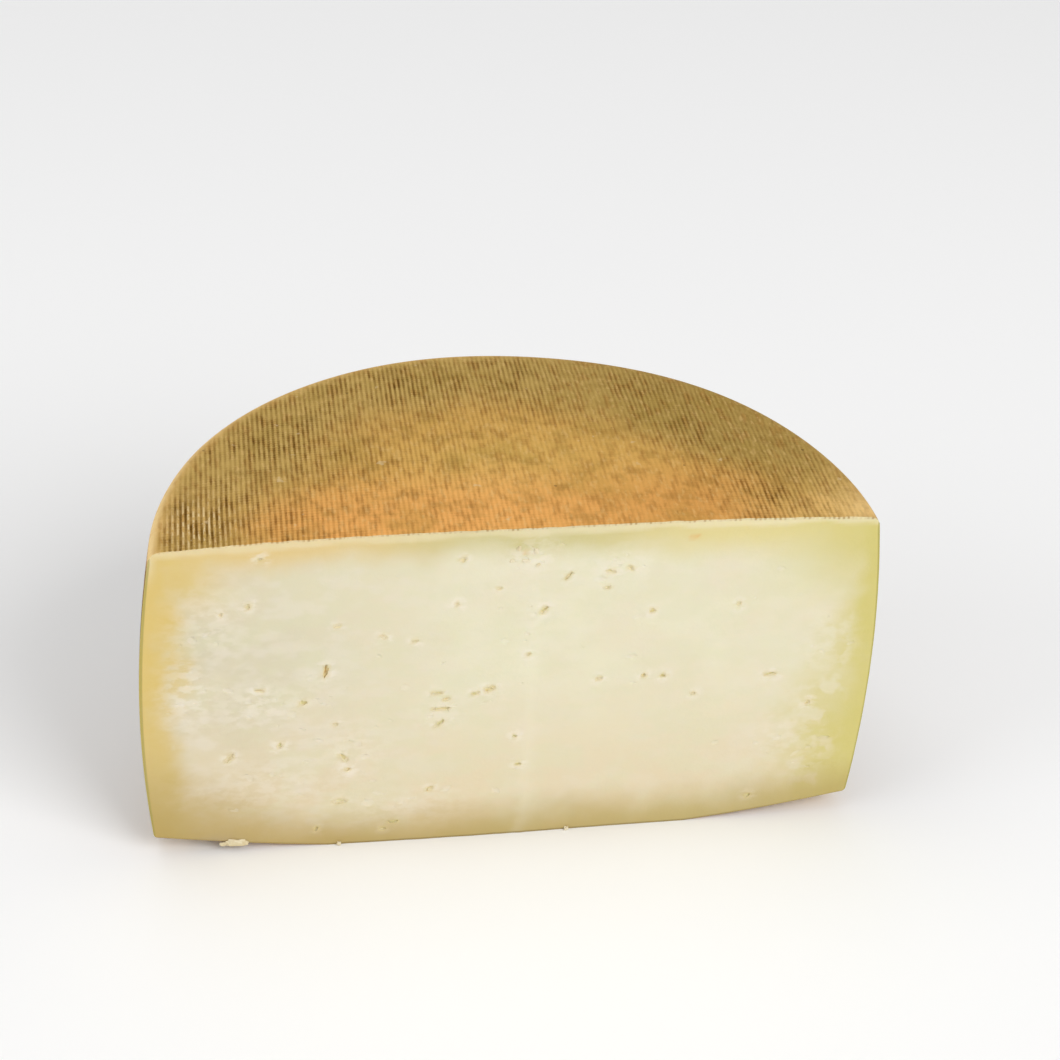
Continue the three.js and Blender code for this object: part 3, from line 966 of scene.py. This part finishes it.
def paste_material(colours):
    """Cut paste of a hard cheese: matt ivory that lets a little light in, drier and ochre under the rind,
    whitish where the knife tore the curd, and olive to brown in the depth of the eyes. Painted shade darkens
    the face towards its foot, on its left third, over the base and in the depth of the eyes"""
    material, tree, shader = new_material("Cheese paste, knife-cut", 0.55, 0.3)
    shader.inputs["Subsurface Weight"].default_value = 0.15
    shader.inputs["Subsurface Radius"].default_value = (1.0, 0.7, 0.35)
    shader.inputs["Subsurface Scale"].default_value = 2 * MM
    add = partial(add_node, tree)
    place = add("TexCoord", take="Object")
    across = add("SeparateXYZ", {0: place}, take="X")
    height = add("SeparateXYZ", {0: place}, take="Z")
    lying = add("Mapping", {"Vector": place, "Scale": (1, 1, 1.7)})
    # Painted shade: the left third of the face, which turns a little away from the light, is painted greyer
    painted_shade_left = add("MapRange", {0: across, 1: -0.115, 2: 0.0, 3: 1.0, 4: 0}, **SOFT)
    to_right = add("MapRange", {0: across, 1: -0.08, 2: 0.09}, **SOFT)
    aside = add("Math", {0: across}, operation="ABSOLUTE")
    middle = add("MapRange", {0: aside, 1: 0.01, 2: 0.07, 3: 0.8, 4: 0}, **SOFT)
    # Painted shade: the face darkens and warms towards its foot, where less light reaches it
    painted_shade_low = add("MapRange", {0: height, 1: 0.005, 2: 0.085, 3: 0.9, 4: 0}, **SOFT)
    masks = [add("Attribute", take="Fac", attribute_name=name) for name in PASTE_MASKS]
    sunk, from_side, from_top, from_base, under_side, under_top, over_base, cream, halo = masks[:9]
    rim, seam, blush, smear_and_shade, olive = masks[9:]
    fine = add("TexNoise", {"Vector": lying, "Scale": 1 / (5 * MM), "Detail": 3})
    torn = add("MapRange", {0: fine, 1: 0.40, 2: 0.60, 3: 0, 4: halo}, **SOFT)
    flecked = add("MapRange", {0: across, 1: -0.11, 2: 0.0, 3: 0.42, 4: 0.14}, **SOFT)
    bare = patches(tree, place, 9 * MM, 0.57, 0.65, 0.07, 2)
    bare = add("MapRange", {0: from_side, 1: 5, 2: 13, 3: 0, 4: bare}, **SOFT)
    bare = add("MapRange", {0: height, 1: 0.085, 2: 0.105, 3: bare, 4: 0}, **SOFT)
    ochre = add("MapRange", {0: bare, 3: under_side, 4: 0})
    by_top = paint(tree, "#e0c587", ((to_right, "#dfd193"), (middle, "#c9c189")))
    by_side = paint(tree, colours.ochre, ((painted_shade_low, "#cdb881"), (to_right, "#d2c679")))
    # Colour over the base: partly the paste's own drier tone and partly painted shade at the foot
    by_base = paint(tree, "#b69c56", ((to_right, "#bba765"),))
    at_edge = paint(tree, "#e8dab2", ((to_right, "#ebe0bd"),))
    colour = paint(tree, colours.heart, (
        (painted_shade_left, "#d5ccb0"),
        (painted_shade_low, "#e1cfac"),
        (patches(tree, place, 34 * MM, 0.50, 0.45, 0.12), "#e3d6b9"),
        (patches(tree, lying, 19 * MM, 0.52, 0.35, 0.1), "#dcd9b6"),
        (patches(tree, lying, 12 * MM, 0.55, flecked, 0.11, 2), "#e7decd"),
        (under_top, by_top),
        (ochre, by_side),
        (over_base, by_base),
        # greyish-tan patch at the foot: partly smeared crumbs and partly painted shade
        (smear_and_shade, "#b7a27c"),
        (cream, at_edge),
        (add("Math", {0: torn, 1: 0.65}, operation="MULTIPLY"), "#efe6d5"),
        (blush, "#e0ad66"),
        (seam, "#f3eeda"),
        (rim, "#d6c382")))
    cloth = add("SeparateXYZ", {0: add("UVMap", uv_map="cloth")}, take="X")
    cloth = add("Math", {0: cloth, 1: 2 * math.pi}, operation="MULTIPLY")
    stained = patches(tree, place, 5 * MM, 0.52, 0.75, 0.1, 3)
    ribs = add("Math", {0: cloth}, operation="COSINE")
    in_furrow = add("MapRange", {0: ribs, 1: -0.8, 2: 0.6, 3: stained, 4: 0.15}, **SOFT)
    brown_edge = add("MapRange", {0: from_top, 1: 0.3, 2: 1.1, 3: in_furrow, 4: 0}, **SOFT)
    brown_side = add("MapRange", {0: from_side, 1: 0.1, 2: 0.6, 3: 0.65, 4: 0}, **SOFT)
    brown_foot = add("MapRange", {0: from_base, 1: 0.2, 2: 1.1, 3: 0.7, 4: 0}, **SOFT)
    colour = paint(tree, colour, (
        (brown_edge, "#a07a3c"), (brown_side, "#9c9344"), (brown_foot, "#85703a")))
    # The eyes darken with their depth: partly their own olive and brown, and partly painted shade in the
    # hollows
    walls = paint(tree, "#e5d19c", ((olive, "#dbd497"),))
    depths = paint(tree, "#c49e56", ((olive, "#bfae62"),))
    pale = add("MapRange", {0: sunk, 1: 0.0, 2: 0.14, 3: 0, 4: 0.25}, **SOFT)
    open_wall = add("MapRange", {0: sunk, 1: 0.25, 2: 0.6, 3: 0, 4: 0.85}, **SOFT)
    deep = add("MapRange", {0: sunk, 1: 0.75, 2: 1.4, 3: 0, 4: 0.9}, **SOFT)
    colour = paint(tree, colour, ((pale, "#f0e8d6"), (open_wall, walls), (deep, depths)))

    curd = add("TexNoise", {"Vector": lying, "Scale": 1 / (6 * MM), "Detail": 3})
    dragged = add("Mapping", {"Vector": place, "Scale": (0.12, 1, 1)})
    drag = add("TexNoise", {"Vector": dragged, "Scale": 1 / (1.8 * MM), "Detail": 3})
    surface(tree, shader, colour, place, 1.3 * MM, ((curd, 1.5), (torn, 0.7), (drag, 0.6)), 0.8, 0.12 * MM)
    return material


def crumb_material():
    """Fresh crumbs of the paste: matt and whiter than the cut, since torn curd scatters more light"""
    material, tree, shader = new_material("Cheese crumb, fresh-torn", 0.7, 0.2)
    place = add_node(tree, "TexCoord", take="Object")
    colour = paint(tree, "#e6dab9", (
        (patches(tree, place, 3 * MM, 0.5, 0.5), "#efe6cf"),
        (patches(tree, place, 6 * MM, 0.52, 0.6), "#d3c08e")))
    surface(tree, shader, colour, place, 0.6 * MM, (), 0.8, 0.15 * MM)
    return material


# Stage

# White softboxes: name, place and side in metres, and power in watts
SOFTBOXES = (
    ("softbox on the right", (1.6, -2.1, 2.1), 1.9, 59),
    ("softbox above", (-0.4, 0.6, 3.0), 2.4, 22),
    ("softbox on the left", (-2.2, -0.6, 1.0), 1.6, 16),
)


def set_floor():
    """A matt white sheet of paper, which takes soft shadows"""
    bpy.ops.object.select_all(action="DESELECT")
    bpy.ops.mesh.primitive_plane_add(size=6)
    floor = bpy.context.object
    floor.name = "floor"
    material, _, shader = new_material("Matt white paper backdrop", 0.9)
    shader.inputs["Base Color"].default_value = linear("#f8f8f8")
    floor.data.materials.append(material)


def add_softbox(name, place, side, power):
    """A square light that faces the middle of the cheese"""
    middle = Vector((0, 0, 60 * MM))
    data = bpy.data.lights.new(name, "AREA")
    data.shape = "SQUARE"
    data.size = side
    data.energy = power
    lamp = bpy.data.objects.new(name, data)
    bpy.context.collection.objects.link(lamp)
    lamp.location = place
    lamp.rotation_mode = "QUATERNION"
    lamp.rotation_quaternion = (middle - Vector(place)).to_track_quat("-Z", "Y")


def set_lights():
    world = bpy.data.worlds.new("Pale studio")
    bpy.context.scene.world = world
    world.use_nodes = True
    background = world.node_tree.nodes["Background"]
    background.inputs["Color"].default_value = linear("#ffffff")
    background.inputs["Strength"].default_value = 0.42
    for softbox in SOFTBOXES:
        add_softbox(*softbox)
    bpy.context.scene.view_settings.view_transform = "Standard"


def set_camera(light):
    """The camera of the picture: it stands left of the middle and looks down to the right"""
    data = bpy.data.cameras.new("camera")
    data.sensor_width = SENSOR_MM
    data.lens = light.lens
    camera = bpy.data.objects.new("camera", data)
    bpy.context.collection.objects.link(camera)
    forward = Vector((
        math.sin(light.yaw) * math.cos(light.pitch),
        math.cos(light.yaw) * math.cos(light.pitch),
        -math.sin(light.pitch)))
    level = Vector((math.cos(light.yaw), -math.sin(light.yaw), 0))
    down = forward.cross(level)
    right = math.cos(light.roll) * level + math.sin(light.roll) * down
    down = math.cos(light.roll) * down - math.sin(light.roll) * level
    turn = Matrix((right, -down, -forward)).transposed()
    camera.matrix_world = Matrix.Translation(Vector(light.eye) + AXIS) @ turn.to_4x4()
    bpy.context.scene.camera = camera


class CHEESE_OT_half_wheel(bpy.types.Operator):
    """Models the half wheel with its rind, its cut face, its eyes and its flakes"""

    bl_idname = "cheese.half_wheel"
    bl_label = "Half wheel"

    def execute(self, context):
        scene = context.scene
        wheel, cloth = scene.cheese_wheel, scene.cheese_cloth
        cut, colours = scene.cheese_cut, scene.cheese_colours
        piece = shape_side(wheel, cloth)
        top_tool, knife = shape_top_tool(wheel, cloth), shape_knife(wheel, cut)
        tools = (knife, *shape_eyes(cut), shape_flakes(cut))
        rind, paste = rind_material(colours), paste_material(colours)
        for part in (piece, top_tool, *tools):
            for material in (rind, paste):
                part.data.materials.append(material)
            slot = 1 if part in tools else 0
            part.data.polygons.foreach_set("material_index", [slot] * len(part.data.polygons))
        carve(piece, top_tool, "INTERSECT")
        for tool in tools:
            carve(piece, tool, "DIFFERENCE")
        write_masks(piece, [paste_masks(vertex.co, wheel, cut) for vertex in piece.data.vertices])
        write_rind_masks(piece, wheel, cloth)
        settle(piece)
        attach(piece, "root")
        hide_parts("cheese")
        return {"FINISHED"}


class CHEESE_OT_crumbs(bpy.types.Operator):
    """Models the crumbs at the foot of the cut and on it"""

    bl_idname = "cheese.crumbs"
    bl_label = "Crumbs"

    def execute(self, context):
        piece = shape_crumbs(context.scene.cheese_cut)
        piece.data.materials.append(crumb_material())
        move_points(piece, lambda point: point + AXIS)
        at_foot = 8 * MM
        below = min(0.0, min(vertex.co.z for vertex in piece.data.vertices))
        move_points(piece, lambda point: point - Vector((0, 0, below * (point.z < at_foot))))
        select_only(piece)
        bpy.ops.object.shade_smooth_by_angle(angle=math.radians(50))
        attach(piece, "root")
        return {"FINISHED"}


class CHEESE_OT_stage(bpy.types.Operator):
    """Sets the floor, the light and the camera"""

    bl_idname = "cheese.stage"
    bl_label = "Stage"

    def execute(self, context):
        light = context.scene.cheese_light
        set_floor()
        set_lights()
        set_camera(light)
        return {"FINISHED"}


class CHEESE_PT_panel(bpy.types.Panel):
    """Shows the settings of the wheel, the cloth, the cut, the colours and the stage, with the buttons that
    build them
    """

    bl_idname = "CHEESE_PT_panel"
    bl_label = "Aged sheep cheese"
    bl_space_type = "VIEW_3D"
    bl_region_type = "UI"
    bl_category = "Cheese"

    def draw(self, context):
        layout = self.layout
        for name, operator in (
            ("cheese_wheel", "cheese.half_wheel"),
            ("cheese_cloth", None),
            ("cheese_cut", "cheese.crumbs"),
            ("cheese_colours", None),
            ("cheese_light", "cheese.stage"),
        ):
            group = getattr(context.scene, name)
            box = layout.box()
            for prop in group.bl_rna.properties:
                if prop.identifier not in {"rna_type", "name"}:
                    box.prop(group, prop.identifier)
            if operator:
                box.operator(operator)


GROUPS = {
    "cheese_wheel": WheelShape,
    "cheese_cloth": ClothImprint,
    "cheese_cut": CutFace,
    "cheese_colours": CheeseColours,
    "cheese_light": StageLight,
}
CLASSES = (*GROUPS.values(), CHEESE_OT_half_wheel, CHEESE_OT_crumbs, CHEESE_OT_stage, CHEESE_PT_panel)


def register():
    for item in CLASSES:
        bpy.utils.register_class(item)
    for name, group in GROUPS.items():
        setattr(bpy.types.Scene, name, bpy.props.PointerProperty(type=group))


def unregister():
    for name in GROUPS:
        delattr(bpy.types.Scene, name)
    for item in reversed(CLASSES):
        bpy.utils.unregister_class(item)


def main():
    register()
    bpy.ops.cheese.half_wheel()
    bpy.ops.cheese.crumbs()
    bpy.ops.cheese.stage()


if __name__ == "__main__":
    main()
